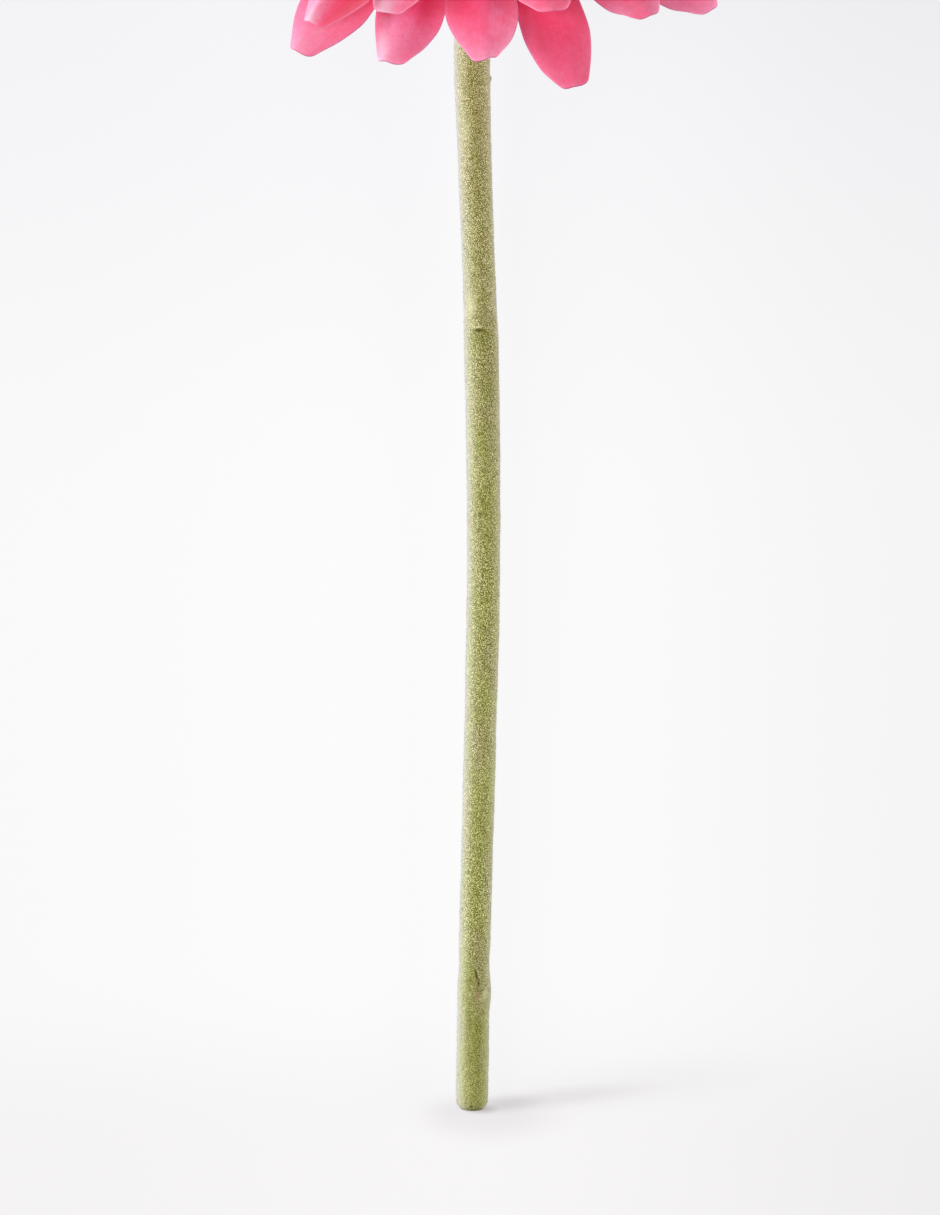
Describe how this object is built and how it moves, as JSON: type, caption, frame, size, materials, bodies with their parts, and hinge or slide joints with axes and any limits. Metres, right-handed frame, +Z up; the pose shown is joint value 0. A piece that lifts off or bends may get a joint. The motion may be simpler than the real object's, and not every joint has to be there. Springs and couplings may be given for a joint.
{
  "type": "cut gerbera",
  "caption": "Cut double gerbera with a leafless downy stem, lying on its back: two whorls of pink petals, a fringed centre and a green cup of bracts behind.",
  "frame": {"origin": "middle of the bounding box in X and Y, at the level of the table that the flower lies on", "axes": "+Y along the stem from the cut end to the flower head, +Z up, +X to the right of someone who looks along +Y"},
  "size_m": [0.1206, 0.3026, 0.0677],
  "materials": {
    "stem": "matte",
    "cup": "matte",
    "bract": "matte",
    "outer_petal": "matte",
    "inner_petal": "matte",
    "fringe": "matte",
    "disc": "matte"
  },
  "bodies": {
    "root": {"stem": "stem", "receptacle": "cup", "disc_florets": "disc", "inner_fringe": "fringe", "outer_petal_01": "outer_petal", "outer_petal_02": "outer_petal", "outer_petal_03": "outer_petal", "outer_petal_04": "outer_petal", "outer_petal_05": "outer_petal", "outer_petal_06": "outer_petal", "outer_petal_07": "outer_petal", "outer_petal_08": "outer_petal", "outer_petal_09": "outer_petal", "outer_petal_10": "outer_petal", "outer_petal_11": "outer_petal", "outer_petal_12": "outer_petal", "outer_petal_13": "outer_petal", "outer_petal_14": "outer_petal", "outer_petal_15": "outer_petal", "outer_petal_16": "outer_petal", "outer_petal_17": "outer_petal", "outer_petal_18": "outer_petal", "outer_petal_19": "outer_petal", "outer_petal_20": "outer_petal", "inner_petal_01": "inner_petal", "inner_petal_02": "inner_petal", "inner_petal_03": "inner_petal", "inner_petal_04": "inner_petal", "inner_petal_05": "inner_petal", "inner_petal_06": "inner_petal", "inner_petal_07": "inner_petal", "inner_petal_08": "inner_petal", "inner_petal_09": "inner_petal", "inner_petal_10": "inner_petal", "inner_petal_11": "inner_petal", "inner_petal_12": "inner_petal", "inner_petal_13": "inner_petal", "inner_petal_14": "inner_petal", "inner_petal_15": "inner_petal", "inner_petal_16": "inner_petal", "inner_petal_17": "inner_petal", "inner_petal_18": "inner_petal", "bract_01": "bract", "bract_02": "bract", "bract_03": "bract", "bract_04": "bract", "bract_05": "bract", "bract_06": "bract", "bract_07": "bract", "bract_08": "bract", "bract_09": "bract", "bract_10": "bract", "bract_11": "bract", "bract_12": "bract", "bract_13": "bract", "bract_14": "bract", "bract_15": "bract", "bract_16": "bract", "bract_17": "bract", "bract_18": "bract"}
  },
  "joints": []
}
